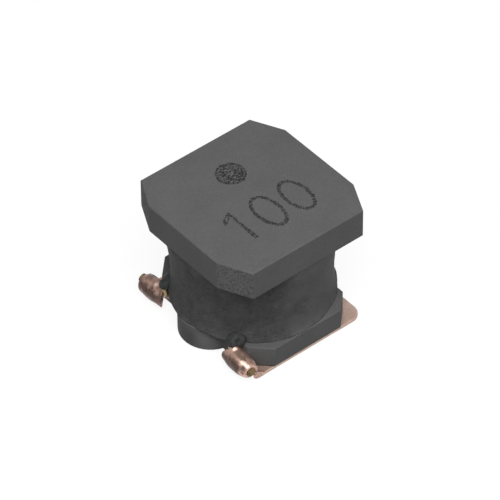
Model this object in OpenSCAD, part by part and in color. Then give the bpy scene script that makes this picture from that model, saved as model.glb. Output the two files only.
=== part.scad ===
// Resin-shielded SMD power inductor: a ferrite drum core wound with enamelled
// wire, closed by a ring of magnetic resin, on two stamped copper terminals
// whose ends are rolled round the leads and welded.
// Millimetres, +Z up. The origin is at the centre of the seating plane, and
// the terminals' undersides are at z = 0. The leads come out on the -X side.

/* [Drum core] */
// Width of the square top flange
flange_w = 5.0; // [4.6:0.1:6.4]
// Height of the whole part above the board
total_h = 4.25; // [3.4:0.05:5.6]
// Thickness of the top flange
flange_t = 1.0; // [0.6:0.05:1.3]
// Corner cut of the top flange, measured along X
flange_cut_x = 0.5; // [0.2:0.05:1.0]
// Corner cut of the top flange, measured along Y
flange_cut_y = 1.0; // [0.3:0.05:1.4]
// Small bevel pressed on the edges of the top flange
edge_bevel = 0.03; // [0.02:0.01:0.1]
// Thickness of the base flange above the terminals
base_t = 0.68; // [0.5:0.02:0.9]
// Width of the base flange along Y
base_w = 4.96; // [4.6:0.02:5.4]
// Distance between the base faces that the terminals seat on, along X
seat_span = 3.54; // [3.3:0.05:3.9]
// Width along Y of the land between the terminals, proud of their seats
land_w = 2.84; // [2.4:0.02:3.0]
// How far the land stands proud of the seats at the sides
land_step = 0.07; // [0.04:0.01:0.1]
// Clearance between the land's underside and the board
land_lift = 0.02; // [0.01:0.01:0.05]
// Corner cut of the base flange at 45 degrees
base_cut = 0.55; // [0.3:0.05:0.7]
// Radius of the round tongue on each X side of the base
tongue_r = 0.96; // [0.7:0.02:1.1]
// Reach of each tongue from the centre
tongue_reach = 2.5; // [2.3:0.02:2.6]
// Radius of the centre post
post_r = 1.35; // [1.0:0.05:1.4]

/* [Winding] */
// Diameter of the enamelled wire
wire_d = 0.25; // [0.16:0.01:0.28]
// Layers of wire on the post
layers = 2; // [1:1:2]
// Pitch of the turns and layers as a share of the wire's diameter
lay = 0.97; // [0.94:0.01:0.98]
// Clearance between the winding and the core
wind_gap = 0.03; // [0.02:0.01:0.06]
// Inside radius of the bends of the leads
lead_bend = 0.07; // [0.05:0.01:0.12]

/* [Resin ring] */
// Radius of the resin at its waist
waist_r = 2.34; // [2.2:0.01:2.38]
// Height of the waist above the board
waist_z = 1.45; // [1.25:0.05:1.9]
// Radius of the resin where it meets the base flange
foot_r = 2.44; // [2.4:0.01:2.5]
// Radius that the resin runs out to under the top flange
crown_r = 2.56; // [2.5:0.01:2.7]
// Distance of the resin back from the edge of the top flange
resin_inset = 0.03; // [0.02:0.01:0.1]

/* [Terminals] */
// Thickness of the copper sheet
sheet_t = 0.1; // [0.08:0.01:0.14]
// Thickness of the glue between sheet and core
glue_t = 0.02; // [0.02:0.01:0.05]
// Clearance between a terminal and the land
pad_gap = 0.01; // [0.01:0.01:0.05]
// Width of a solder pad along Y
pad_w = 1.035; // [0.9:0.005:1.05]
// Distance of the far end of a solder pad from the centre, along X
pad_reach = 2.1; // [1.9:0.05:2.4]
// Radius of the outer corner of a solder pad
pad_corner = 0.4; // [0.1:0.05:0.5]
// Height of the upright wall of a terminal above the board
wall_h = 0.7; // [0.64:0.01:0.78]
// Corner cut at the outer end of the wall
wall_cut = 0.2; // [0.1:0.02:0.3]

/* [Welded barrels] */
// Outer radius of the barrel in the middle, where the weld has swollen it
barrel_r = 0.335; // [0.32:0.005:0.35]
// Outer radius of the barrel at its mouth and at its welded end
barrel_end_r = 0.27; // [0.26:0.005:0.3]
// Height of the barrel's axis above the board
barrel_z = 0.38; // [0.36:0.005:0.42]
// Height of the lead above the barrel's axis
lead_rise = 0.03; // [0.02:0.01:0.06]
// Distance of the upright lead from the centre, along Y
lead_y = 1.53; // [1.5:0.01:1.6]
// Distance of the welded end from the centre, along Y
weld_y = 2.44; // [2.35:0.01:2.46]
// Angle that the barrels open outwards
splay = 4.5; // [2:0.5:5]
// Rounding of the welded end
weld_round = 0.14; // [0.08:0.01:0.16]
// Distance of the barrel's mouth from the upright lead, on the barrel's axis
mouth_x = 0.08; // [0.04:0.01:0.12]
// Slant of the mouth, which leaves the outer side of the roll longer
mouth_slant = 40; // [30:1:45]
// Depth of the open roll from the upright lead to the weld
roll_depth = 0.36; // [0.3:0.02:0.5]
// How far the cut wire stands out of the weld
wire_proud = 0.03; // [0.005:0.005:0.04]

/* [Lead glue] */
// Radius of the glue drop over each lead
drop_r = 0.28; // [0.26:0.01:0.32]
// Distance of the drop's centre from the upright lead, towards the core
drop_inset = 0.1; // [0.08:0.01:0.14]
// Distance of the drop's centre below the level part of the lead
drop_sag = 0.05; // [0.03:0.01:0.08]

/* [Hidden] */
$fn = 64;
far = 20;
cut = 0.5;

// Levels
base_z0 = sheet_t + glue_t;
base_z1 = base_z0 + base_t;
flange_z0 = total_h - flange_t;
window_h = flange_z0 - base_z1;

// Winding
wire_r = wire_d / 2;
turn_pitch = lay * wire_d;
turns = floor((window_h - 2 * wind_gap - wire_d) / turn_pitch) + 1;
first_turn_r = post_r + wind_gap + wire_r;
coil_r = first_turn_r + (layers - 1) * turn_pitch + wire_r;
coil_z0 = base_z1 + wind_gap + wire_r;

// Leads. Each one leaves the first layer level with the bottom turn, bends
// down outside the wall of its terminal and bends again into the barrel.
seat_x = seat_span / 2;
wall_x = seat_x + sheet_t;
lead_x = wall_x + wire_r;
lead_z = barrel_z + lead_rise;
bend_r = lead_bend + wire_r;
lead_dist = norm([lead_x, lead_y]);
leave_angle = 180 + atan2(lead_y, lead_x) + acos(first_turn_r / lead_dist);
leave_at = first_turn_r * [cos(leave_angle), sin(leave_angle)];
run_heading = atan2(-lead_y - leave_at.y, -lead_x - leave_at.x);
run_l = norm([-lead_x, -lead_y] - leave_at) - bend_r;
weld_heading = -90 - splay;
weld_l = (weld_y - lead_y) / cos(splay);

// Terminals, along Y
pad_inner = land_w / 2 + pad_gap;
pad_outer = pad_inner + pad_w;

function octagon(half_x, half_y, cut_x, cut_y) = [
    [half_x, half_y - cut_y], [half_x - cut_x, half_y],
    [-half_x + cut_x, half_y], [-half_x, half_y - cut_y],
    [-half_x, -half_y + cut_y], [-half_x + cut_x, -half_y],
    [half_x - cut_x, -half_y], [half_x, -half_y + cut_y]];

// What belongs to the front terminal, or its mirror image at the rear
module at_rear(rear) {
    mirror([0, rear ? 1 : 0, 0]) children();
}

// A prism whose upper and lower edges carry the same small bevel
module bevelled_prism(points, z0, z1, bevel) {
    count = len(points);
    difference() {
        translate([0, 0, z0]) linear_extrude(z1 - z0) polygon(points);
        for (i = [0 : count - 1]) {
            a = points[i];
            b = points[(i + 1) % count];
            for (z = [z0, z1])
                translate([(a.x + b.x) / 2, (a.y + b.y) / 2, z])
                    rotate([0, 0, atan2(b.y - a.y, b.x - a.x)])
                        rotate([45, 0, 0])
                            cube([norm(b - a) + cut, bevel * sqrt(2), bevel * sqrt(2)], center = true);
        }
    }
}

// ---------- ferrite drum core ----------
module seat_outline() {
    polygon(octagon(seat_x, base_w / 2, base_cut, base_cut));
}

// The land runs across the base between the terminals, out to both tongues.
module land_outline() {
    square([seat_span + 2 * land_step, land_w], center = true);
    for (side = [-1, 1])
        translate([side * (tongue_reach - tongue_r), 0]) circle(r = tongue_r);
}

module ferrite_core() {
    half = flange_w / 2;
    color([0.33, 0.33, 0.34]) {
        bevelled_prism(octagon(half, half, flange_cut_x, flange_cut_y), flange_z0, total_h, edge_bevel);
        translate([0, 0, base_z0]) cylinder(r = post_r, h = total_h - base_z0 - edge_bevel);
        translate([0, 0, base_z0]) linear_extrude(base_t) seat_outline();
        translate([0, 0, land_lift]) linear_extrude(base_z1 - land_lift) land_outline();
    }
}

// ---------- winding and its leads ----------
// A quarter bend of the lead in the XZ plane, round the point x, z
module quarter_bend(x, z, from) {
    translate([x, 0, z]) rotate([90, 0, 0]) rotate([0, 0, from])
        rotate_extrude(angle = 90) translate([bend_r, 0]) circle(r = wire_r);
}

// The front lead, from the winding to its cut end
module lead() {
    translate([-lead_x, -lead_y, 0]) {
        rotate([0, 0, run_heading]) {
            translate([-bend_r, 0, coil_z0]) rotate([0, -90, 0]) cylinder(r = wire_r, h = run_l);
            quarter_bend(-bend_r, coil_z0 - bend_r, 0);
        }
        translate([0, 0, lead_z + bend_r]) cylinder(r = wire_r, h = coil_z0 - lead_z - 2 * bend_r);
        rotate([0, 0, weld_heading]) {
            quarter_bend(bend_r, lead_z + bend_r, 180);
            translate([bend_r, 0, lead_z]) rotate([0, 90, 0])
                cylinder(r = wire_r, h = weld_l - bend_r + wire_proud);
        }
    }
}

module coil() {
    rotate_extrude() {
        for (layer = [0 : layers - 1], turn = [0 : turns - 1])
            translate([first_turn_r + layer * turn_pitch, coil_z0 + turn * turn_pitch])
                circle(r = wire_r);
        translate([first_turn_r, coil_z0])
            square([max(coil_r - first_turn_r - wire_r, wire_r / 2), (turns - 1) * turn_pitch]);
    }
}

module magnet_wire() {
    color([0.72, 0.50, 0.24]) {
        coil();
        for (rear = [false, true]) at_rear(rear) lead();
    }
}

// ---------- resin ring ----------
// The ring's outside hollows in to the waist along two arcs.
module resin_body() {
    low = waist_z - base_z1;
    high = flange_z0 - waist_z;
    low_arc = (low * low + pow(foot_r - waist_r, 2)) / (2 * (foot_r - waist_r));
    high_arc = (high * high + pow(crown_r - waist_r, 2)) / (2 * (crown_r - waist_r));
    rotate_extrude() {
        difference() {
            translate([0, base_z1]) square([foot_r, low]);
            translate([waist_r + low_arc, waist_z]) circle(r = low_arc, $fn = 256);
        }
        difference() {
            translate([0, waist_z]) square([crown_r, high]);
            translate([waist_r + high_arc, waist_z]) circle(r = high_arc, $fn = 256);
        }
    }
}

module resin_shield() {
    inset = flange_w / 2 - resin_inset;
    color([0.27, 0.27, 0.28]) difference() {
        intersection() {
            resin_body();
            linear_extrude(total_h) polygon(octagon(inset, inset, flange_cut_x, flange_cut_y));
        }
        cylinder(r = coil_r + wind_gap, h = total_h);
        for (rear = [false, true]) at_rear(rear) lead();
    }
}

// ---------- terminals ----------
module pad_outline() {
    bend_x = -seat_x + glue_t;
    corner = [pad_reach - pad_corner, -pad_outer + pad_corner];
    translate([bend_x, -pad_outer]) square([corner.x - bend_x, pad_w]);
    translate([bend_x, corner.y]) square([pad_reach - bend_x, pad_w - pad_corner]);
    translate(corner) circle(r = pad_corner);
}

// The sheet turns up round the foot of the core and stands against its seat.
module wall_section() {
    centre = [-seat_x + glue_t, base_z0];
    translate([-wall_x, base_z0]) square([sheet_t, wall_h - base_z0]);
    intersection() {
        translate(centre) difference() {
            circle(r = base_z0);
            circle(r = glue_t);
        }
        translate([centre.x - base_z0, 0]) square(base_z0);
    }
}

module wall() {
    difference() {
        translate([0, -pad_inner, 0]) rotate([90, 0, 0]) linear_extrude(pad_w) wall_section();
        translate([-wall_x, -pad_outer, wall_h]) rotate([45, 0, 0])
            cube([4 * sheet_t, wall_cut * sqrt(2), wall_cut * sqrt(2)], center = true);
    }
}

// Half the section of the barrel along its axis: a swollen side that runs on
// without a step into the round of the welded end.
module barrel_section(length) {
    middle = length / 2;
    swell = barrel_r - barrel_end_r;
    side_r = (middle * middle + swell * swell) / (2 * swell);
    round_y = length - weld_round;
    round_x = barrel_r - side_r + sqrt(pow(side_r - weld_round, 2) - pow(round_y - middle, 2));
    meet_y = middle + (round_y - middle) * side_r / (side_r - weld_round);
    intersection() {
        translate([barrel_r - side_r, middle]) circle(r = side_r, $fn = 256);
        square([barrel_r, meet_y]);
    }
    square([round_x, length]);
    translate([round_x, round_y]) circle(r = weld_round);
}

// The end of the sheet, rolled round the lead and welded. It runs along +X
// from the upright lead, with the core on its +Y side. The roll is still open
// at the mouth, and solid where the weld has run it together with the lead.
module barrel() {
    difference() {
        translate([-barrel_end_r, 0, 0]) rotate([0, 90, 0]) rotate_extrude()
            barrel_section(weld_l + barrel_end_r);
        rotate([0, -90, 0]) translate([0, 0, -roll_depth])
            cylinder(r = barrel_end_r - sheet_t, h = roll_depth + far);
        translate([mouth_x, 0, 0]) rotate([0, 0, -mouth_slant])
            translate([-far / 2, 0, 0]) cube(far, center = true);
    }
}

module terminal(rear) {
    at_rear(rear) color([0.76, 0.55, 0.47]) difference() {
        union() {
            linear_extrude(sheet_t) pad_outline();
            wall();
            intersection() {
                translate([-lead_x, -lead_y, barrel_z]) rotate([0, 0, weld_heading]) barrel();
                translate([-seat_x - far, -far / 2, 0]) cube([far, far, far]);
            }
        }
        lead();
    }
}

module terminal_front() {
    terminal(false);
}

module terminal_rear() {
    terminal(true);
}

// ---------- glue ----------
module terminal_glue(rear) {
    at_rear(rear) color([0.20, 0.19, 0.18])
        translate([0, 0, sheet_t]) linear_extrude(glue_t) intersection() {
            pad_outline();
            seat_outline();
        }
}

module terminal_glue_front() {
    terminal_glue(false);
}

module terminal_glue_rear() {
    terminal_glue(true);
}

// A drop of glue covers each lead where it leaves the resin and bends down.
module lead_glue(rear) {
    at_rear(rear) color([0.13, 0.15, 0.19]) difference() {
        translate([-lead_x + drop_inset, -lead_y, coil_z0 - drop_sag]) sphere(r = drop_r);
        translate([0, 0, base_z1 - far]) linear_extrude(far) square(far, center = true);
        resin_body();
        lead();
    }
}

module lead_glue_front() {
    lead_glue(false);
}

module lead_glue_rear() {
    lead_glue(true);
}

ferrite_core();
magnet_wire();
resin_shield();
terminal_front();
terminal_rear();
terminal_glue_front();
terminal_glue_rear();
lead_glue_front();
lead_glue_rear();
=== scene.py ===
import math
import random

import bmesh
import bpy
from mathutils import Matrix, Vector, noise


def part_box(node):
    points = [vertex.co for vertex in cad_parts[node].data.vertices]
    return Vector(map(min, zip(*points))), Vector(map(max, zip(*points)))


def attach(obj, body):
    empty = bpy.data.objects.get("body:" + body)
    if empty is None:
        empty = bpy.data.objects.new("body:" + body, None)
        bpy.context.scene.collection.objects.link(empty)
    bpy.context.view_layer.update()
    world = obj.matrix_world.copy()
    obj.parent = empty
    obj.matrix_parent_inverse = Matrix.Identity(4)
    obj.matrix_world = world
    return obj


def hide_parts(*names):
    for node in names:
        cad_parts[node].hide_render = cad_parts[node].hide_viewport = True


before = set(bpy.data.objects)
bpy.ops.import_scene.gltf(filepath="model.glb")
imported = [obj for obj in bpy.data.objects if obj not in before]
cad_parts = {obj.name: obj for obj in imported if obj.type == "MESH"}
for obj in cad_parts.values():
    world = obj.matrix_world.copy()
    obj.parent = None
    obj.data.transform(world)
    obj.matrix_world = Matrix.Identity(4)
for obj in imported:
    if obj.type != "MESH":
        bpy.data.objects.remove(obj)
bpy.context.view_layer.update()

# ---------- Drum core ----------
# One pressed and sintered ferrite piece: square top flange, round post and base
# flange. The press leaves its edges slightly round. The flange's corners are
# ground off afterwards, which leaves them rough.

MM = 0.001
SAME_PLACE = 0.0005
PRESSED_EDGE = 0.007
BASE_EDGE = 0.028
# The flange's corner cut, along x and y. Its face is known by its size and by how
# nearly it faces the way of the cut.
CORNER_CUT = (0.5, 1.0)
LEAST_CORNER_FACE = 0.3
NEARLY_ALIGNED = 0.99
# Painted shade and light on the tongue, darker on its left and lighter on its right: place, reach
# and grey.
TONGUE_PAINTED_SHADES = (((-2.49, -0.12, 0.35), 0.5, 0.100),
                ((-2.43, -0.32, 0.35), 0.25, 0.093),
                ((-2.17, -0.75, 0.33), 0.6, 0.160))


def copy_in_mm(node):
    """The shape of a CAD piece as a bmesh in millimetres, with its vertices welded."""
    shape = bmesh.new()
    shape.from_mesh(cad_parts[node].data)
    shape.transform(Matrix.Scale(1 / MM, 4))
    bmesh.ops.remove_doubles(shape, verts=shape.verts, dist=SAME_PLACE)
    return shape


def soften_edges(shape, above, width, segments):
    """Rounds every edge that is sharper than the angle `above`, in degrees."""
    sharp = [e for e in shape.edges
             if len(e.link_faces) == 2 and e.calc_face_angle(0) > math.radians(above)]
    bmesh.ops.bevel(shape, geom=sharp, offset=width, segments=segments, profile=0.5,
                    affect="EDGES", clamp_overlap=True)


def piece_from(name, shape, materials, node=None):
    """Turns a bmesh in millimetres into a piece in metres that rides on the part."""
    shape.transform(Matrix.Scale(MM, 4))
    mesh = bpy.data.meshes.new(name)
    shape.to_mesh(mesh)
    shape.free()
    for material in materials:
        mesh.materials.append(material)
    mesh.shade_smooth()
    piece = bpy.data.objects.new(name, mesh)
    bpy.context.scene.collection.objects.link(piece)
    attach(piece, "root")
    if node:
        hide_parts(node)
    return piece


def even_normals(piece):
    """Keeps the large flat faces flat in shading, beside their round edges."""
    even = piece.modifiers.new("even normals", "WEIGHTED_NORMAL")
    even.weight = 100
    even.keep_sharp = False


class Finish:
    """A material under construction: a shader, and places on the piece in millimetres."""

    def __init__(self, name, metallic=0.0, roughness=0.5, specular=0.5):
        self.material = bpy.data.materials.new(name)
        self.material.use_nodes = True
        self.tree = self.material.node_tree
        self.shader = self.tree.nodes["Principled BSDF"]
        self.shader.inputs["Metallic"].default_value = metallic
        self.shader.inputs["Roughness"].default_value = roughness
        self.shader.inputs["Specular IOR Level"].default_value = specular
        where = self.tree.nodes.new("ShaderNodeTexCoord")
        scale = self.tree.nodes.new("ShaderNodeMapping")
        scale.inputs["Scale"].default_value = (1 / MM, 1 / MM, 1 / MM)
        self.tree.links.new(where.outputs["Object"], scale.inputs["Vector"])
        self.place = scale.outputs["Vector"]

    def noise(self, size, detail=4.0, roughness=0.55, distortion=0.0, stretch=None):
        """Cloudy values with lumps of `size` millimetres."""
        node = self.tree.nodes.new("ShaderNodeTexNoise")
        node.inputs["Scale"].default_value = 1 / size
        node.inputs["Detail"].default_value = detail
        node.inputs["Roughness"].default_value = roughness
        node.inputs["Distortion"].default_value = distortion
        place = self.place
        if stretch:
            mapping = self.tree.nodes.new("ShaderNodeMapping")
            mapping.inputs["Scale"].default_value = stretch
            self.tree.links.new(place, mapping.inputs["Vector"])
            place = mapping.outputs["Vector"]
        self.tree.links.new(place, node.inputs["Vector"])
        return node.outputs["Fac"]

    def cells(self, size, randomness=1.0):
        """Distance from the middle of irregular grains of `size` millimetres."""
        node = self.tree.nodes.new("ShaderNodeTexVoronoi")
        node.inputs["Scale"].default_value = 1 / size
        node.inputs["Randomness"].default_value = randomness
        self.tree.links.new(self.place, node.inputs["Vector"])
        return node.outputs["Distance"]

    def ramp(self, factor, stops):
        """A colour for each value: stops are (value, grey or colour)."""
        node = self.tree.nodes.new("ShaderNodeValToRGB")
        points = node.color_ramp.elements
        while len(points) < len(stops):
            points.new(0.5)
        for point, (value, colour) in zip(points, stops):
            point.position = value
            point.color = (colour,) * 3 + (1,) if isinstance(colour, float) else (*colour, 1)
        self.tree.links.new(factor, node.inputs["Fac"])
        return node.outputs["Color"]

    def mix(self, how, factor, a, b):
        """Two colours mixed, as MIX, MULTIPLY, LIGHTEN and so on."""
        node = self.tree.nodes.new("ShaderNodeMix")
        node.data_type = "RGBA"
        node.blend_type = how
        # A mix of colours has its factor and its two colours on sockets 0, 6 and 7.
        for socket, value in ((node.inputs[0], factor), (node.inputs[6], a), (node.inputs[7], b)):
            if isinstance(value, bpy.types.NodeSocket):
                self.tree.links.new(value, socket)
            elif isinstance(value, tuple):
                socket.default_value = (*value, 1)
            else:
                socket.default_value = value
        return node.outputs[2]

    def sum(self, *weighted):
        """Values added up, each given as (value, weight)."""
        total = None
        for value, weight in weighted:
            node = self.tree.nodes.new("ShaderNodeMath")
            node.operation = "MULTIPLY_ADD"
            self.tree.links.new(value, node.inputs[0])
            node.inputs[1].default_value = weight
            node.inputs[2].default_value = 0.0
            if total is not None:
                self.tree.links.new(total, node.inputs[2])
            total = node.outputs[0]
        return total

    def attribute(self, name):
        """A value that the mesh carries at each of its points."""
        node = self.tree.nodes.new("ShaderNodeAttribute")
        node.attribute_name = name
        return node.outputs["Fac"]

    def near(self, spot, reach):
        """A value that is 1 at a spot and falls to 0 at a distance of `reach` millimetres."""
        away = self.tree.nodes.new("ShaderNodeVectorMath")
        away.operation = "DISTANCE"
        self.tree.links.new(self.place, away.inputs[0])
        away.inputs[1].default_value = spot
        share = self.tree.nodes.new("ShaderNodeMath")
        share.operation = "MULTIPLY_ADD"
        share.use_clamp = True
        self.tree.links.new(away.outputs["Value"], share.inputs[0])
        share.inputs[1].default_value = -1 / reach
        share.inputs[2].default_value = 1.0
        return share.outputs[0]

    def relief(self, height, depth):
        """Relief of the surface, `depth` millimetres between a height of 0 and 1."""
        node = self.tree.nodes.new("ShaderNodeBump")
        node.inputs["Distance"].default_value = depth * MM
        self.tree.links.new(height, node.inputs["Height"])
        self.tree.links.new(node.outputs["Normal"], self.shader.inputs["Normal"])

    def use(self, socket, value):
        """Puts a pattern on one of the shader's sockets."""
        self.tree.links.new(value, self.shader.inputs[socket])


def sintered_ferrite():
    finish = Finish("sintered ferrite", specular=0.05)
    clouds = finish.noise(0.9, detail=3)
    grain = finish.noise(0.035, detail=5, roughness=0.7)
    pores = finish.cells(0.11)
    tone = finish.sum((clouds, 0.2), (grain, 0.8))
    colour = finish.ramp(tone, [(0.36, 0.100), (0.5, 0.117), (0.64, 0.137)])
    # Painted shade and light on the tongue, mixed over the ferrite's own tone.
    for spot, reach, grey in TONGUE_PAINTED_SHADES:
        shade = finish.ramp(finish.near(spot, reach), [(0.0, 0.0), (0.65, 1.0)])
        colour = finish.mix("MIX", shade, colour, (grey,) * 3)
    pits = finish.ramp(pores, [(0.06, 0.55), (0.13, 1.0)])
    finish.use("Base Color", finish.mix("MULTIPLY", 0.5, colour, pits))
    finish.use("Roughness", finish.ramp(grain, [(0.3, 0.52), (0.7, 0.68)]))
    finish.relief(finish.sum((grain, 0.5), (clouds, 0.5)), 0.006)
    return finish.material


def ground_ferrite():
    """The corner faces, where grinding opened the grain."""
    finish = Finish("ground ferrite", specular=0.05)
    grain = finish.noise(0.06, detail=4, roughness=0.75)
    pores = finish.cells(0.085)
    colour = finish.ramp(grain, [(0.34, 0.065), (0.48, 0.12), (0.66, 0.17)])
    pits = finish.ramp(pores, [(0.12, 0.35), (0.3, 1.0)])
    finish.use("Base Color", finish.mix("MULTIPLY", 0.75, colour, pits))
    finish.use("Roughness", finish.ramp(grain, [(0.3, 0.75), (0.7, 0.6)]))
    finish.relief(finish.sum((grain, 0.6), (pores, 0.4)), 0.02)
    return finish.material


core = copy_in_mm("ferrite_core")
bmesh.ops.dissolve_limit(core, angle_limit=math.radians(1), verts=core.verts, edges=core.edges)
soften_edges(core, above=70, width=BASE_EDGE, segments=3)
soften_edges(core, above=20, width=PRESSED_EDGE, segments=2)
core_top = (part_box("ferrite_core")[1] / MM).z
ground_normal = Vector((CORNER_CUT[1], CORNER_CUT[0], 0)).normalized()
for face in core.faces:
    side = Vector((abs(face.normal.x), abs(face.normal.y), abs(face.normal.z)))
    if face.calc_area() > LEAST_CORNER_FACE and side.dot(ground_normal) > NEARLY_ALIGNED:
        face.material_index = 1
ferrite = [sintered_ferrite(), ground_ferrite()]
drum_core = piece_from("drum_core", core, ferrite, "ferrite_core")
even_normals(drum_core)

# ---------- Winding ----------
# One enamelled copper wire, wound on the post in two layers. Both ends leave
# the winding level, bend down beside the terminals and run on into the welds.

WIRE_R = 0.125
WIRE_SIDES = 14
POST_R = 1.35
WIND_GAP = 0.03
# The pitch of the turns, as a share of the wire's width.
LAY = 0.97
# The front lead goes down against the terminal's wall and bends into the roll, a
# little above its axis. The roll splays outwards, and its weld ends at WELD_Y.
WALL_X = -1.87
LEAD = Vector((WALL_X - WIRE_R, -1.53, 0))
LEAD_BEND = 0.07
BARREL_Z = 0.38
LEAD_RISE = 0.03
WELD_Y = 2.44
SPLAY = math.radians(4.5)
# How far the cut ends stand proud of their welds, and how much higher the rear one is.
FRONT_PROUD = 0.02
REAR_PROUD = 0.034
REAR_RISE = 0.07
# The melted rim of a cut end: steps along the wire, and shares of its radius.
CUT_END = ((0.003, 1.12), (0.008, 1.1), (0.011, 0.8))
# Painted shade of a hole that gas has blown in the front end: a dark spot, with no hollow in the
# shape.
BLOW_HOLE_SHADE = (-2.155, -2.47, 0.41)
BLOW_HOLE_SHADE_REACH = 0.05
LEVEL_STEPS = 6
WELD_STEPS = 8
TURN_STEPS = 40
CLIMB_STEPS = 12

# The turns lie in the height that the resin closes, from the base to the flange.
base_top, flange_under = (corner.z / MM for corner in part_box("resin_shield"))
bend_r = LEAD_BEND + WIRE_R
weld_way = Vector((-math.sin(SPLAY), -math.cos(SPLAY), 0))
weld_length = (WELD_Y + LEAD.y) / math.cos(SPLAY)


def bend(corner, way_in, way_out, radius, steps=10):
    """Points of a bend that takes a path from way_in to way_out round a corner."""
    centre = corner - way_in * radius + way_out * radius
    points = []
    for i in range(steps + 1):
        turn = math.pi / 2 * i / steps
        points.append(centre - way_out * radius * math.cos(turn) + way_in * radius * math.sin(turn))
    return points


def lead_path(first_turn_r, z, proud):
    """The front lead, from the winding to its cut end, which stands proud of the weld."""
    reach = math.hypot(LEAD.x, LEAD.y)
    leave = math.pi + math.atan2(-LEAD.y, -LEAD.x) + math.acos(first_turn_r / reach)
    start = Vector((first_turn_r * math.cos(leave), first_turn_r * math.sin(leave), z))
    elbow = Vector((LEAD.x, LEAD.y, z))
    heel = Vector((LEAD.x, LEAD.y, BARREL_Z + LEAD_RISE))
    way = (elbow - start).normalized()
    down = Vector((0, 0, -1))
    path = bend(elbow, way, down, bend_r) + bend(heel, down, weld_way, bend_r)
    end = heel + weld_way * (weld_length + proud)
    level = [start.lerp(path[0], i / LEVEL_STEPS) for i in range(LEVEL_STEPS)]
    welded = [path[-1].lerp(end, (i + 1) / WELD_STEPS) for i in range(WELD_STEPS)]
    return leave, level + path + welded


def winding_path():
    """The whole wire, from the rear lead through both layers to the front lead."""
    pitch = LAY * 2 * WIRE_R
    low = base_top + WIND_GAP + WIRE_R
    turns = int((flange_under - base_top - 2 * WIND_GAP - 2 * WIRE_R) / pitch)
    inner = POST_R + WIND_GAP + WIRE_R
    outer = inner + pitch
    leave_in, lead_in = lead_path(inner, low, REAR_PROUD)
    leave_out, lead_out = lead_path(outer, low, FRONT_PROUD)
    mirrored = [Vector((p.x, -p.y, p.z)) for p in reversed(lead_in)]
    for i in range(WELD_STEPS):
        mirrored[i].z += REAR_RISE * (1 - i / WELD_STEPS)
    start, end = -leave_in, leave_out
    steps = TURN_STEPS * turns
    sweep = 2 * math.pi * turns
    top = low + turns * pitch
    path = list(mirrored)
    # The wire leaves each lead as a tangent and winds on in the same sense.
    for i in range(1, steps + 1):
        t = i / steps
        a = start + sweep * t
        path.append(Vector((inner * math.cos(a), inner * math.sin(a), low + (top - low) * t)))
    rest = (end - start) % (2 * math.pi)
    sweep_out = sweep + rest
    for i in range(1, steps):
        t = i / steps
        a = start + sweep + sweep_out * t
        rise = min(1.0, t * steps / CLIMB_STEPS)
        radius = inner + (outer - inner) * rise
        path.append(Vector((radius * math.cos(a), radius * math.sin(a), top + (low - top) * t)))
    return path + lead_out


def tube(path, radius, sides):
    """A round wire along a path, without twist, with its cut ends melted a little wider."""
    shape = bmesh.new()
    rings = []
    across = None
    last = len(path) - 1
    for i, point in enumerate(path):
        ahead = path[min(i + 1, last)] - path[max(i - 1, 0)]
        ahead.normalize()
        across = ahead.orthogonal() if across is None else across - ahead * across.dot(ahead)
        across.normalize()
        up = ahead.cross(across)

        def ring(shift, share):
            return [shape.verts.new(point + ahead * shift
                                    + (across * math.cos(a) + up * math.sin(a)) * radius * share)
                    for a in (2 * math.pi * k / sides for k in range(sides))]

        rim = []
        if i in (0, last):
            way = 1 if i else -1
            rim = [ring(shift * way, share) for shift, share in CUT_END]
        rings += [*reversed(rim), ring(0, 1)] if i == 0 else [ring(0, 1), *rim]
    for j, (here, on) in enumerate(zip(rings, rings[1:])):
        melted = 1 if j <= len(CUT_END) or j >= len(rings) - 1 - len(CUT_END) else 0
        for k in range(sides):
            m = (k + 1) % sides
            shape.faces.new((here[k], here[m], on[m], on[k])).material_index = melted
    shape.faces.new(list(reversed(rings[0]))).material_index = 1
    shape.faces.new(rings[-1]).material_index = 1
    return shape


def enamelled_wire():
    finish = Finish("enamelled wire", metallic=0.85, roughness=0.25)
    clouds = finish.noise(0.3, detail=3)
    rubs = finish.noise(0.03, detail=3)
    golds = [(0.35, (0.10, 0.07, 0.035)), (0.5, (0.27, 0.20, 0.10)), (0.66, (0.45, 0.36, 0.20))]
    finish.use("Base Color", finish.ramp(finish.sum((clouds, 0.6), (rubs, 0.4)), golds))
    finish.use("Roughness", finish.ramp(rubs, [(0.3, 0.18), (0.7, 0.34)]))
    finish.shader.inputs["Coat Weight"].default_value = 0.6
    finish.shader.inputs["Coat Roughness"].default_value = 0.1
    finish.shader.inputs["Coat Tint"].default_value = (0.95, 0.80, 0.55, 1)
    finish.relief(finish.sum((clouds, 0.5), (rubs, 0.5)), 0.004)
    return finish.material


def cut_copper():
    """The end of the wire, cut and scorched by the weld."""
    finish = Finish("cut wire end", specular=0.1, roughness=0.8)
    scorch = finish.noise(0.07, detail=3, roughness=0.6)
    tans = [(0.33, (0.05, 0.025, 0.01)), (0.42, (0.27, 0.185, 0.095)), (0.7, (0.37, 0.265, 0.135))]
    tan = finish.ramp(scorch, tans)
    # Painted shade of the gas hole, as a dark spot.
    hole_shade = finish.ramp(finish.near(BLOW_HOLE_SHADE, BLOW_HOLE_SHADE_REACH), [(0.25, 0.0), (0.5, 1.0)])
    finish.use("Base Color", finish.mix("MIX", hole_shade, tan, (0.03, 0.015, 0.006)))
    finish.use("Roughness", finish.ramp(scorch, [(0.3, 0.85), (0.7, 0.7)]))
    finish.relief(scorch, 0.02)
    return finish.material


wire = tube(winding_path(), WIRE_R, WIRE_SIDES)
coats = [enamelled_wire(), cut_copper()]
winding = piece_from("winding", wire, coats, "magnet_wire")
for face in winding.data.polygons:
    face.use_smooth = face.material_index == 0

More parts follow.
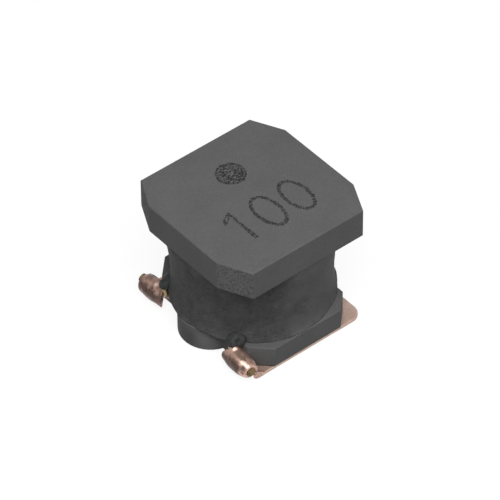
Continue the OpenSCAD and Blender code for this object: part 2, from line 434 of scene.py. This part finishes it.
# ---------- Terminals ----------
# Two copper sheets, stamped and folded: a solder pad, a wall against the core
# and an end rolled round the lead. The weld melts the roll into a smooth bead,
# narrow at both ends and scorched round the cut wire.

VOXEL = 0.017
SHEET_SMOOTHING = 3
# The wall's top, and how low it has melted down beside the bead.
WALL_H = 0.7
WALL_SLACK = 0.005
MELTED_H = 0.58
BURR_R = 0.06
BURR = (Vector((-1.89, -2.434, 0.066)), Vector((-1.62, -2.434, 0.062)))
BURR_BALLS = 8
# Balls that melt into one skin with the sheet: centre and radius.
STUB = (((-1.89, -2.39, 0.34), 0.07), ((-1.88, -2.40, 0.24), 0.085), ((-1.84, -2.405, 0.15), 0.085),
        ((-1.76, -2.40, 0.13), 0.08), ((-1.68, -2.40, 0.09), 0.07))
COLLAR = (((-1.995, -1.60, 0.60), 0.19), ((-2.05, -1.66, 0.52), 0.2), ((-1.95, -1.70, 0.54), 0.18))
# Stains of the welds, and one painted highlight on the rear bead's shoulder: place, reach and
# colour.
STAINS_AND_HIGHLIGHT = (((-2.213, 1.829, 0.596), 0.07, (0.09, 0.04, 0.03)),
          ((-2.284, 1.65, 0.455), 0.12, (0.07, 0.055, 0.06)),
          # A painted highlight on the rear bead's shoulder.
          ((-2.077, 1.809, 0.664), 0.11, (0.85, 0.62, 0.53)),
          ((-1.86, 2.25, 0.62), 0.2, (0.10, 0.06, 0.05)),
          ((-2.245, -2.305, 0.55), 0.15, (0.13, 0.095, 0.075)))
axis_start = Vector((LEAD.x, LEAD.y, BARREL_Z))


def remesh(shape, voxel, smoothing):
    """Turns a shape in millimetres into one even skin whose edges are slightly round."""
    mesh = bpy.data.meshes.new("skin")
    shape.to_mesh(mesh)
    shape.free()
    holder = bpy.data.objects.new("skin", mesh)
    bpy.context.scene.collection.objects.link(holder)
    grid = holder.modifiers.new("grid", "REMESH")
    grid.mode = "VOXEL"
    grid.voxel_size = voxel
    soft = holder.modifiers.new("soft", "SMOOTH")
    soft.iterations = smoothing
    result = bmesh.new()
    result.from_object(holder, bpy.context.evaluated_depsgraph_get())
    bpy.data.objects.remove(holder)
    bpy.data.meshes.remove(mesh)
    return result


def fractal(point, size, octaves=3):
    """Noise between about -1 and 1 with lumps of `size` millimetres."""
    return noise.fractal(point / size, 0.8, 2.0, octaves, noise_basis="PERLIN_ORIGINAL")


def ease(low, high, value):
    """Goes smoothly from 0 at `low` to 1 at `high`."""
    t = max(0.0, min(1.0, (value - low) / (high - low)))
    return t * t * (3 - 2 * t)


def formed_sheet(end):
    """The folded sheet, its wall melted down beside the bead, with a burr where it was cut."""
    shape = copy_in_mm("terminal_" + end)
    for v in shape.verts:
        if v.co.z > WALL_H - WALL_SLACK and v.co.x > WALL_X - WALL_SLACK:
            v.co.z = MELTED_H
    side = 1 if end == "front" else -1
    for i in range(BURR_BALLS):
        spot = BURR[0].lerp(BURR[1], i / (BURR_BALLS - 1))
        bmesh.ops.create_icosphere(shape, subdivisions=2, radius=BURR_R,
                                   matrix=Matrix.Translation((spot.x, spot.y * side, spot.z)))
    for (x, y, z), radius in STUB + COLLAR:
        bmesh.ops.create_icosphere(shape, subdivisions=2, radius=radius,
                                   matrix=Matrix.Translation((x, y * side, z)))
    return remesh(shape, VOXEL, SHEET_SMOOTHING)


# The bead's darkness, which is real weld scale and painted reflection together: how dark it is, and
# how much lighter on the roll's top, where a bright reflection is painted. A dark reflection is
# painted on the flank and on the side against the core, and a bright one round the front bead's
# end. The angles are degrees round the roll (90 is its top); the end's run is millimetres along it.
FRONT_SCALE_AND_SHADE, FRONT_TOP_SHEEN = 1.12, 0.95
REAR_SCALE_AND_SHADE, REAR_TOP_SHEEN = 0.78, 0.1
SHEEN_FROM = (22, 70)
SHEEN_TO, FAR_SIDE_SHADE = (100, 122), 0.2
END_SHEEN_RUN, END_SHEEN = (0.62, 0.76), 0.8
SHADED_FLANK, FLANK_HALF, FLANK_SHADE = 18, 45, 0.25


def scale_and_shade_share(angle, along, side):
    """How dark the bead is, as weld scale with painted reflection: least on the roll's top, and
    round the front one's end.
    """
    top = ease(*SHEEN_FROM, angle) * (1 - FAR_SIDE_SHADE * ease(*SHEEN_TO, angle))
    if side > 0:
        return (FRONT_SCALE_AND_SHADE - FRONT_TOP_SHEEN * top) * (1 - END_SHEEN * ease(*END_SHEEN_RUN, along))
    # The rear one's flank is painted darker still, as a dark reflection.
    flank = 1 - abs(angle - SHADED_FLANK) / FLANK_HALF
    return REAR_SCALE_AND_SHADE - REAR_TOP_SHEEN * top + FLANK_SHADE * max(0.0, flank)


# The melted zone: where it begins along the roll, and how far off the axis it fades.
MELT_START = -0.3
MELT_FADE = (0.34, 0.42)
MELT_SMOOTHING = 10
# The ring that the weld has scorched round the cut wire.
SCORCH_INNER = (0.10, 0.13)
SCORCH_OUTER = (0.15, 0.19)
SCORCH_DEPTH = (0.14, 0.03)
SOOT_CLOUD = (0.22, 0.4)
# The corner beside the front pad that has melted with the stub, and how much.
STUB_CORNER = (-1.55, -2.36)
STUB_MELT = 0.6
# Unevenness of the bead, as size and depth. Its streaks run along the roll.
STREAKS = (0.2, 0.007)
STREAK_STRETCH = 0.35
LUMPS = (0.5, 0.018)
# How much the roll narrows at its mouth and, in front and at the rear, at its end.
MOUTH_NARROW, MOUTH_RUN = 0.05, (-0.25, 0.3)
END_NARROW, END_RUN = {1: 0.16, -1: 0.03}, (0.52, 0.9)
# The metal that hangs down under the mouth of the rear roll.
DRIP = {1: 0.0, -1: 0.1}
DRIP_RUN = (-0.2, 0.2)
DRIP_ROUND = (-20, 40)
DRIP_ABOVE = (0.1, 0.3)


def on_roll(place, side):
    """A place as on the front terminal, and where it lies along, off and round the roll."""
    front = Vector((place.x, place.y * side, place.z))
    along = (front - axis_start).dot(weld_way)
    off_axis = front - axis_start - weld_way * along
    return front, along, off_axis, math.degrees(math.atan2(off_axis.z, -off_axis.x))


def melt_weld(shape, side):
    """Gives the roll its molten form: narrow at both ends, uneven all over."""
    burn = shape.verts.layers.float.new("weld")
    scorch = shape.verts.layers.float.new("scorch")
    scale_and_shade = shape.verts.layers.float.new("scale_and_shade")
    seed = Vector((1.7, 9.4, 3.3)) * side
    cloud_size, cloud_share = SOOT_CLOUD
    scorched = [weld_length - depth for depth in SCORCH_DEPTH]
    molten = []
    for v in shape.verts:
        front, along, off_axis, angle = on_roll(v.co, side)
        off = off_axis.length
        if along > MELT_START and off < MELT_FADE[1]:
            v[burn] = 1 - ease(*MELT_FADE, off)
            ring = ease(*SCORCH_INNER, off) * (1 - ease(*SCORCH_OUTER, off))
            v[scorch] = ring * ease(*scorched, along)
            cloud = fractal(front + seed, cloud_size, 3)
            # The bead's darkness: weld scale with painted reflection and shade, by its place round
            # the roll.
            v[scale_and_shade] = scale_and_shade_share(angle, along, side) + cloud_share * cloud
            molten.append(v)
        elif front.x < STUB_CORNER[0] and front.y < STUB_CORNER[1]:
            v[burn] = STUB_MELT
    for _ in range(MELT_SMOOTHING):
        bmesh.ops.smooth_vert(shape, verts=molten, factor=0.5,
                              use_axis_x=True, use_axis_y=True, use_axis_z=True)
    shape.normal_update()
    moves = []
    for v in molten:
        front, along, off_axis, angle = on_roll(v.co, side)
        narrow = (MOUTH_NARROW * (1 - ease(*MOUTH_RUN, along))
                  + END_NARROW[side] * ease(*END_RUN, along))
        inwards = Vector((-off_axis.x, -off_axis.y * side, -off_axis.z)) * narrow
        drawn = Vector((front.x, front.y * STREAK_STRETCH, front.z))
        streak = fractal(drawn + seed, STREAKS[0], 2) * STREAKS[1]
        lump = fractal(front + seed, LUMPS[0], 2) * LUMPS[1]
        sag = ((1 - ease(*DRIP_RUN, along)) * (1 - ease(*DRIP_ROUND, angle))
               * ease(*DRIP_ABOVE, front.z) * v[burn])
        down = Vector((0, 0, DRIP[side] * sag))
        moves.append((inwards + v.normal * (lump + streak)) * v[burn] - down)
    for v, move in zip(molten, moves):
        v.co += move


def terminal_copper():
    finish = Finish("terminal copper", metallic=0.68)
    weld = finish.attribute("weld")
    clouds = finish.noise(0.55, detail=3)
    fine = finish.noise(0.05, detail=4)
    rolled = finish.noise(0.02, detail=3, stretch=(0.12, 1.0, 1.0))
    run = finish.noise(0.2, detail=3, distortion=0.5, stretch=(1.0, 0.35, 1.0))
    spatter = finish.noise(0.12, detail=2, roughness=0.5)
    dusty = [(0.35, (0.44, 0.30, 0.24)), (0.5, (0.52, 0.37, 0.305)), (0.65, (0.61, 0.455, 0.39))]
    rosy = [(0.34, (0.38, 0.27, 0.21)), (0.45, (0.60, 0.385, 0.305)), (0.62, (0.82, 0.54, 0.45))]
    sheet = finish.ramp(finish.sum((clouds, 0.5), (rolled, 0.5)), dusty)
    bead = finish.ramp(run, rosy)
    spots = finish.ramp(spatter, [(0.3, (0.30, 0.15, 0.12)), (0.36, (1.0, 1.0, 1.0))])
    # Weld scale with painted reflection and shade: darker on the flank and on the side against the
    # core, lighter on the top.
    bead = finish.mix("MULTIPLY", finish.attribute("scale_and_shade"), bead, (0.135, 0.12, 0.12))
    bead = finish.mix("MULTIPLY", 1.0, bead, spots)
    # Stains of the welds, and the painted highlight on the rear bead.
    for spot, reach, colour in STAINS_AND_HIGHLIGHT:
        patch = finish.ramp(finish.near(spot, reach), [(0.1, 0.0), (0.7, 1.0)])
        bead = finish.mix("MIX", patch, bead, colour)
    melted = finish.mix("MIX", finish.attribute("scorch"), bead, (0.13, 0.095, 0.05))
    finish.use("Base Color", finish.mix("MIX", weld, sheet, melted))
    dull = finish.ramp(fine, [(0.3, 0.42), (0.7, 0.56)])
    shiny = finish.ramp(run, [(0.3, 0.44), (0.45, 0.36), (0.7, 0.28)])
    finish.use("Roughness", finish.mix("MIX", weld, dull, shiny))
    finish.relief(finish.sum((fine, 0.5), (rolled, 0.5)), 0.002)
    return finish.material


copper = terminal_copper()
for end in ("front", "rear"):
    terminal = formed_sheet(end)
    melt_weld(terminal, 1 if end == "front" else -1)
    piece_from("terminal_sheet_" + end, terminal, [copper], "terminal_" + end)

# ---------- Terminal glue ----------
# A thin film of epoxy, which glues each terminal under the base of the core. It
# keeps the frame's own shape, and gets its finish here.


def thin_epoxy():
    finish = Finish("terminal epoxy", roughness=0.45)
    clouds = finish.noise(0.12, detail=4)
    browns = [(0.35, (0.030, 0.028, 0.026)), (0.65, (0.062, 0.058, 0.052))]
    finish.use("Base Color", finish.ramp(clouds, browns))
    finish.relief(clouds, 0.01)
    return finish.material


film = thin_epoxy()
for end in ("front", "rear"):
    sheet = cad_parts["terminal_glue_" + end]
    sheet.data.materials.clear()
    sheet.data.materials.append(film)

# ---------- Resin ring ----------
# Epoxy filled with magnetic powder, run in between the flanges over the
# winding. It shrinks to a waist as it cures, and its foot creeps on the base.

WAIST_R = 2.34
WAIST_Z = 1.45
FOOT_R = 2.44
CROWN_R = 2.56
RESIN_INSET = 0.03
INNER_R = 1.87
# Unevenness of the outside, as size and depth: broad waves, small ripples, and
# the foot, which creeps outwards below FOOT_H above the base.
SKIN_R = 2.4
WAVES = (1.1, 0.022)
RIPPLES = (0.28, 0.009)
FOOT_WAVES = (0.5, 0.030)
FOOT_CREEP = 0.012
FOOT_H = 0.14
# Directions, in degrees, between which the rough part of the ring begins and ends,
# and the wandering of its edge: lumps in millimetres, and degrees.
MATT_BACK = (95, 125)
MATT_FRONT = (248, 272)
EDGE_LUMP = 0.7
EDGE_WANDER = 14
AROUND = 360
UPWARDS = 72
ROW_CROWD = 0.35

flange_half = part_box("ferrite_core")[1].x / MM


def arc_radius(height, reach, depth):
    """Radius at a height above the waist, on an arc that gains `depth` over `reach`."""
    radius = (reach ** 2 + depth ** 2) / (2 * depth)
    return WAIST_R + radius - math.sqrt(radius ** 2 - height ** 2)


def flange_limit(angle):
    """How far the ring may reach under the flange, in that direction."""
    c, s = abs(math.cos(angle)), abs(math.sin(angle))
    half = flange_half - RESIN_INSET
    across = CORNER_CUT[1] * c + CORNER_CUT[0] * s
    cut_line = CORNER_CUT[1] * half + CORNER_CUT[0] * (half - CORNER_CUT[1])
    return min(half / max(c, 1e-6), half / max(s, 1e-6), cut_line / across)


def skin_place(angle, z, shift=(0, 0, 0)):
    """A place on the ring's skin, for noise. Each pattern has a shift of its own."""
    return Vector((math.cos(angle) * SKIN_R, math.sin(angle) * SKIN_R, z)) + Vector(shift)


def resin_radius(angle, z):
    """Radius of the ring's outside, with the unevenness of poured resin."""
    if z < WAIST_Z:
        radius = arc_radius(WAIST_Z - z, WAIST_Z - base_top, FOOT_R - WAIST_R)
    else:
        radius = arc_radius(z - WAIST_Z, flange_under - WAIST_Z, CROWN_R - WAIST_R)
    radius += (fractal(skin_place(angle, z), WAVES[0], 2) * WAVES[1]
               + fractal(skin_place(angle, z, (5, 0, 0)), RIPPLES[0], 3) * RIPPLES[1])
    foot = max(0.0, 1 - (z - base_top) / FOOT_H)
    creep = fractal(skin_place(angle, z, (0, 9, 0)), FOOT_WAVES[0], 2)
    radius += foot ** 2 * (FOOT_CREEP + FOOT_WAVES[1] * creep)
    return min(radius, flange_limit(angle))


def matt_share(angle, z):
    """How rough the resin is: rough on the -X side and the front corner, smooth elsewhere."""
    degrees = math.degrees(angle) % 360
    edge = EDGE_WANDER * fractal(skin_place(angle, z, (3, 1, 0)), EDGE_LUMP, 2)
    front = ease(*MATT_FRONT, degrees + edge)
    back = ease(*MATT_BACK, degrees + edge)
    return back * (1 - front)


def resin_ring_shape():
    shape = bmesh.new()
    matt = shape.verts.layers.float.new("matt")
    rows = []
    for j in range(UPWARDS + 1):
        # The rows lie closer together at the foot and under the flange.
        t = j / UPWARDS
        share = t - ROW_CROWD * math.sin(2 * math.pi * t) / (2 * math.pi)
        z = base_top + (flange_under - base_top) * share
        rows.append([(resin_radius(2 * math.pi * i / AROUND, z), z) for i in range(AROUND)])
    rows.append([(INNER_R, flange_under)] * AROUND)
    rows.append([(INNER_R, base_top)] * AROUND)
    rings = []
    for row in rows:
        ring = []
        for i, (r, z) in enumerate(row):
            angle = 2 * math.pi * i / AROUND
            v = shape.verts.new((r * math.cos(angle), r * math.sin(angle), z))
            v[matt] = matt_share(angle, z)
            ring.append(v)
        rings.append(ring)
    rings.append(rings[0])
    for ring, ring_on in zip(rings, rings[1:]):
        for i in range(AROUND):
            k = (i + 1) % AROUND
            shape.faces.new((ring[i], ring[k], ring_on[k], ring_on[i]))
    return shape


def powder_resin():
    finish = Finish("powder resin", specular=0.08)
    matt = finish.attribute("matt")
    clouds = finish.noise(0.5, detail=4, roughness=0.6, distortion=0.4)
    lumps = finish.noise(0.11, detail=4, roughness=0.7, stretch=(1.0, 1.0, 1.7))
    grain = finish.noise(0.03, detail=3, roughness=0.7)
    tone = finish.sum((clouds, 0.45), (lumps, 0.35), (grain, 0.2))
    rough = finish.ramp(tone, [(0.35, 0.039), (0.46, 0.063), (0.55, 0.081), (0.66, 0.110)])
    smooth = finish.ramp(tone, [(0.36, 0.094), (0.5, 0.104), (0.64, 0.115)])
    finish.use("Base Color", finish.mix("MIX", matt, smooth, rough))
    finish.use("Roughness", finish.ramp(lumps, [(0.3, 0.72), (0.7, 0.6)]))
    finish.relief(finish.sum((clouds, 0.3), (lumps, 0.5), (grain, 0.2)), 0.02)
    return finish.material


piece_from("resin_ring", resin_ring_shape(), [powder_resin()], "resin_shield")

# ---------- Lead glue ----------
# A drop of dark epoxy on each lead, where it leaves the resin. It has run down
# round the wire and has set half matt.

# Balls that run together into one drop: place beside the lead, height and radius.
GLUE_BLOBS = (((0.17, 0.03, 0.94), 0.2), ((0.05, 0.03, 0.9), 0.18), ((-0.005, 0.0, 0.86), 0.17),
              ((0.26, -0.08, 0.90), 0.18), ((0.17, -0.17, 0.83), 0.11), ((0.24, 0.2, 1.0), 0.16))
DROP_VOXEL = 0.022
DROP_SMOOTHING = 12
DROP_LUMP = 0.16
DROP_LUMP_DEPTH = 0.012


def glue_drop_shape(rear):
    shape = bmesh.new()
    side = -1 if rear else 1
    for (dx, dy, z), radius in GLUE_BLOBS:
        centre = Vector((LEAD.x + dx, (LEAD.y + dy) * side, z))
        bmesh.ops.create_icosphere(shape, subdivisions=3, radius=radius,
                                   matrix=Matrix.Translation(centre))
    drop = remesh(shape, DROP_VOXEL, DROP_SMOOTHING)
    drop.normal_update()
    for v in drop.verts:
        v.co += v.normal * fractal(v.co, DROP_LUMP, 2) * DROP_LUMP_DEPTH
    return drop


def dark_glue():
    finish = Finish("dark glue", specular=0.12)
    clouds = finish.noise(0.15, detail=4)
    blacks = [(0.35, (0.026, 0.027, 0.028)), (0.65, (0.058, 0.059, 0.060))]
    finish.use("Base Color", finish.ramp(clouds, blacks))
    finish.use("Roughness", finish.ramp(clouds, [(0.3, 0.5), (0.7, 0.62)]))
    finish.relief(clouds, 0.015)
    return finish.material


glue = dark_glue()
for end in ("front", "rear"):
    drop = glue_drop_shape(end == "rear")
    piece_from("glue_drop_" + end, drop, [glue], "lead_glue_" + end)

# ---------- Laser marks ----------
# The value, a plain three-figure number, and a dot at the winding's start. The
# laser burns a row of small craters into the top face.

PIT_R = 0.024
DOT_PIT_R = 0.029
PIT_STEP = 0.073
# Rings of a crater, from its middle outwards: share of its radius, lift and burn.
CRATER = ((0.7, 0.0006, 1.0), (1.0, 0.0022, 0.9), (1.25, 0.0032, 0.45), (1.65, 0.0003, 0.1))
CRATER_SIDES = 8
CRATER_SIZES = (0.65, 1.35)
CRATER_TONES = (0.4, 0.75, 1.0, 1.0)
RIM_WOBBLE = 0.15
PIT_STRAY = 0.011
ROW_GAP = 0.048
STEM_GAP = (0.07, 0.008)
FLAG_GAP = 0.095
ONE_FOOT = Vector((-0.997, -1.42))
ONE_HEAD = Vector((-0.985, -0.18))
FLAG_END = Vector((-1.345, -0.47))
ZEROS = (Vector((-0.05, -0.813)), Vector((0.98, -0.815)))
ZERO_HALF = Vector((0.365, 0.662))
DOT = Vector((0.116, 1.051))
DOT_R = 0.42
DOT_SPACING = 0.067
DOT_MARGIN = 0.03
DOT_TRIES = 5000
OVAL_STEPS = 1200
LEAST_FLAG_GAP = 0.01


def along_line(a, b, gap):
    """Places of the craters of a straight stroke, in two rows with a changing gap."""
    count = round((b - a).length / PIT_STEP)
    side = (b - a).normalized().orthogonal() / 2
    return [a.lerp(b, i / count) + side * way * gap(i / count)
            for way in (-1, 1) for i in range(count + 1)]


def stem_gap(t):
    """Wide at the foot of the stem, and almost closed at its head."""
    return STEM_GAP[0] + (STEM_GAP[1] - STEM_GAP[0]) * t


def flag_gap(t):
    """A narrow loop, closed at both ends."""
    return LEAST_FLAG_GAP + FLAG_GAP * math.sin(math.pi * t)


def round_oval(centre, half_size, count):
    """Places of one row of craters round an oval, evenly spaced."""
    outline = []
    for i in range(OVAL_STEPS + 1):
        a = 2 * math.pi * i / OVAL_STEPS
        outline.append(centre + Vector((half_size.x * math.cos(a), half_size.y * math.sin(a))))
    walked = [0.0]
    for here, on in zip(outline, outline[1:]):
        walked.append(walked[-1] + (on - here).length)
    places = []
    i = 0
    for k in range(count):
        while walked[i] < walked[-1] * k / count:
            i += 1
        places.append(outline[i])
    return places


def round_zero(centre):
    """Places of the craters of a zero, in two rows that keep step."""
    count = round(2 * math.pi * math.sqrt((ZERO_HALF.x ** 2 + ZERO_HALF.y ** 2) / 2) / PIT_STEP)
    gap = Vector((ROW_GAP, ROW_GAP)) / 2
    return round_oval(centre, ZERO_HALF - gap, count) + round_oval(centre, ZERO_HALF + gap, count)


def over_dot(chance):
    """Places of the craters of the dot: its rim, and a scatter within."""
    places = round_oval(DOT, Vector((DOT_R, DOT_R)), round(2 * math.pi * DOT_R / DOT_SPACING))
    for _ in range(DOT_TRIES):
        place = Vector((chance.uniform(-1, 1), chance.uniform(-1, 1))) * DOT_R
        spot = DOT + place
        inside = place.length < DOT_R - DOT_MARGIN
        if inside and all((spot - other).length > DOT_SPACING for other in places):
            places.append(spot)
    return places


def craters(places, radius, chance):
    """Small craters with a raised rim, each a little off its place on the core's top."""
    shape = bmesh.new()
    burn = shape.verts.layers.float.new("burn")
    for place in places:
        size = radius * chance.uniform(*CRATER_SIZES)
        dark = chance.choice(CRATER_TONES)
        at = place + Vector((chance.uniform(-1, 1), chance.uniform(-1, 1))) * PIT_STRAY
        rings = []
        for share, lift, depth in CRATER:
            ring = []
            for k in range(CRATER_SIDES):
                a = 2 * math.pi * k / CRATER_SIDES
                wobble = 1 + chance.uniform(-RIM_WOBBLE, RIM_WOBBLE)
                v = shape.verts.new((at.x + size * share * wobble * math.cos(a),
                                     at.y + size * share * wobble * math.sin(a), core_top + lift))
                v[burn] = depth * dark
                ring.append(v)
            rings.append(ring)
        shape.faces.new(rings[0])
        for ring, ring_on in zip(rings, rings[1:]):
            for k in range(CRATER_SIDES):
                m = (k + 1) % CRATER_SIDES
                shape.faces.new((ring[k], ring_on[k], ring_on[m], ring[m]))
    return shape


def burnt_ferrite():
    finish = Finish("laser-burnt ferrite", specular=0.3)
    burn = finish.attribute("burn")
    grain = finish.noise(0.03, detail=3)
    depth = finish.sum((burn, 0.8), (grain, 0.4))
    finish.use("Base Color", finish.ramp(depth, [(0.2, 0.095), (0.42, 0.045), (0.9, 0.008)]))
    finish.use("Roughness", finish.ramp(grain, [(0.3, 0.55), (0.7, 0.8)]))
    finish.relief(grain, 0.01)
    return finish.material


strokes = along_line(ONE_FOOT, ONE_HEAD, stem_gap) + along_line(ONE_HEAD, FLAG_END, flag_gap)
for zero in ZEROS:
    strokes += round_zero(zero)
chance = random.Random(5)
burnt = burnt_ferrite()
piece_from("value_mark", craters(strokes, PIT_R, chance), [burnt])
start_dot = craters(over_dot(chance), DOT_PIT_R, chance)
piece_from("winding_start_dot", start_dot, [burnt])

# ---------- Studio ----------
# A white table in a white room, lit by one large soft lamp above the side that
# the camera looks from.

bpy.context.scene.view_settings.view_transform = "Standard"

AZIMUTH = math.radians(-39.29)
ELEVATION = math.radians(43.64)
ROLL = math.radians(-0.53)
DISTANCE = 123.5
LENS = 316
# How far from the middle of the part's top the camera aims.
AIM_RIGHT = -0.04
AIM_UP = -1.55
NEAREST = 1
FURTHEST = 2000

across = Vector((math.cos(AZIMUTH), math.sin(AZIMUTH), 0))
level = Vector((-math.sin(AZIMUTH), math.cos(AZIMUTH), 0))
ahead = level * math.cos(ELEVATION) - Vector((0, 0, math.sin(ELEVATION)))
upright = level * math.sin(ELEVATION) + Vector((0, 0, math.cos(ELEVATION)))
right = across * math.cos(ROLL) + upright * math.sin(ROLL)
up = upright * math.cos(ROLL) - across * math.sin(ROLL)
aim = Vector((0, 0, core_top)) + right * AIM_RIGHT + up * AIM_UP
camera = bpy.data.objects.new("camera", bpy.data.cameras.new("camera"))
camera.data.lens = LENS
camera.data.clip_start = NEAREST * MM
camera.data.clip_end = FURTHEST * MM
turned = Matrix((right, up, -ahead)).transposed().to_4x4()
camera.matrix_world = Matrix.Translation((aim - ahead * DISTANCE) * MM) @ turned
bpy.context.scene.collection.objects.link(camera)
bpy.context.scene.camera = camera

# The table ends a hair below the pads, which would flicker through it at the same height.
FLOOR_HALF = 250
FLOOR_GAP = 0.01
# The room's grey at heights from straight below to straight above, and the dim grey
# of its light on the part.
ROOM_TONES = ((0.0, 1.0), (0.3, 1.0), (0.6, 0.9), (1.0, 0.75))
ROOM_LIGHT = 0.2


def background_rays(tree):
    """1 for the rays that show the background: the camera's, and those in metal and glass."""
    path = tree.nodes.new("ShaderNodeLightPath")
    most = path.outputs["Is Camera Ray"]
    for ray in ("Is Glossy Ray", "Is Transmission Ray"):
        either = tree.nodes.new("ShaderNodeMath")
        either.operation = "MAXIMUM"
        tree.links.new(most, either.inputs[0])
        tree.links.new(path.outputs[ray], either.inputs[1])
        most = either.outputs[0]
    return most


def choose(tree, otherwise, seen):
    """One shader for the background's rays, another for the light on the part."""
    switch = tree.nodes.new("ShaderNodeMixShader")
    tree.links.new(background_rays(tree), switch.inputs[0])
    tree.links.new(otherwise, switch.inputs[1])
    tree.links.new(seen, switch.inputs[2])
    return switch.outputs[0]


def table_paint():
    """White to the eye and in metal, with a soft shadow left in it."""
    material = bpy.data.materials.new("table white")
    material.use_nodes = True
    tree = material.node_tree
    tree.nodes.clear()

    def lit(colour, glow):
        """Paint of some colour that also glows a little, so that its shadows stay pale."""
        paint = tree.nodes.new("ShaderNodeBsdfDiffuse")
        paint.inputs["Color"].default_value = (colour, colour, colour, 1)
        glowing = tree.nodes.new("ShaderNodeEmission")
        glowing.inputs["Color"].default_value = (1, 1, 1, 1)
        glowing.inputs["Strength"].default_value = glow
        both = tree.nodes.new("ShaderNodeAddShader")
        tree.links.new(paint.outputs[0], both.inputs[0])
        tree.links.new(glowing.outputs[0], both.inputs[1])
        return both.outputs[0]

    dark = lit(colour=0.23, glow=0.0)
    pale = lit(colour=0.16, glow=0.88)
    out = tree.nodes.new("ShaderNodeOutputMaterial")
    tree.links.new(choose(tree, dark, pale), out.inputs["Surface"])
    return material


table = bpy.data.meshes.new("table")
corners = [Vector((x * FLOOR_HALF, y * FLOOR_HALF, -FLOOR_GAP)) * MM
           for x, y in ((-1, -1), (1, -1), (1, 1), (-1, 1))]
table.from_pydata(corners, [], [(0, 1, 2, 3)])
table.materials.append(table_paint())
floor = bpy.data.objects.new("table", table)
bpy.context.scene.collection.objects.link(floor)


def room():
    """White round the table, with a darker ceiling. Its light on the part is dim."""
    world = bpy.data.worlds.new("room")
    world.use_nodes = True
    tree = world.node_tree
    tree.nodes.clear()
    where = tree.nodes.new("ShaderNodeTexCoord")
    split = tree.nodes.new("ShaderNodeSeparateXYZ")
    tree.links.new(where.outputs["Generated"], split.inputs[0])
    height = tree.nodes.new("ShaderNodeValToRGB")
    points = height.color_ramp.elements
    while len(points) < len(ROOM_TONES):
        points.new(0.5)
    for point, (value, grey) in zip(points, ROOM_TONES):
        point.position = value
        point.color = (grey, grey, grey, 1)
    tree.links.new(split.outputs["Z"], height.inputs["Fac"])
    walls = tree.nodes.new("ShaderNodeBackground")
    tree.links.new(height.outputs["Color"], walls.inputs["Color"])
    dim = tree.nodes.new("ShaderNodeBackground")
    dim.inputs["Color"].default_value = (ROOM_LIGHT, ROOM_LIGHT, ROOM_LIGHT, 1)
    out = tree.nodes.new("ShaderNodeOutputWorld")
    tree.links.new(choose(tree, dim.outputs[0], walls.outputs[0]), out.inputs["Surface"])
    bpy.context.scene.world = world


room()


LAMP_AIM_Z = 2


def soft_lamp(name, azimuth, elevation, distance, size, brightness):
    """A square lamp that points at the part. Brightness is what its surface shows."""
    a, e = math.radians(azimuth), math.radians(elevation)
    way = Vector((math.sin(a) * math.cos(e), -math.cos(a) * math.cos(e), math.sin(e)))
    data = bpy.data.lights.new(name, "AREA")
    data.size = size * MM
    data.energy = brightness * math.pi * data.size ** 2
    lamp = bpy.data.objects.new(name, data)
    lamp.location = (way * distance + Vector((0, 0, LAMP_AIM_Z))) * MM
    lamp.rotation_mode = "QUATERNION"
    lamp.rotation_quaternion = (-way).to_track_quat("-Z", "Y")
    lamp.visible_camera = False
    bpy.context.scene.collection.objects.link(lamp)


soft_lamp("key lamp", azimuth=-34, elevation=60, distance=70, size=60, brightness=4.9)
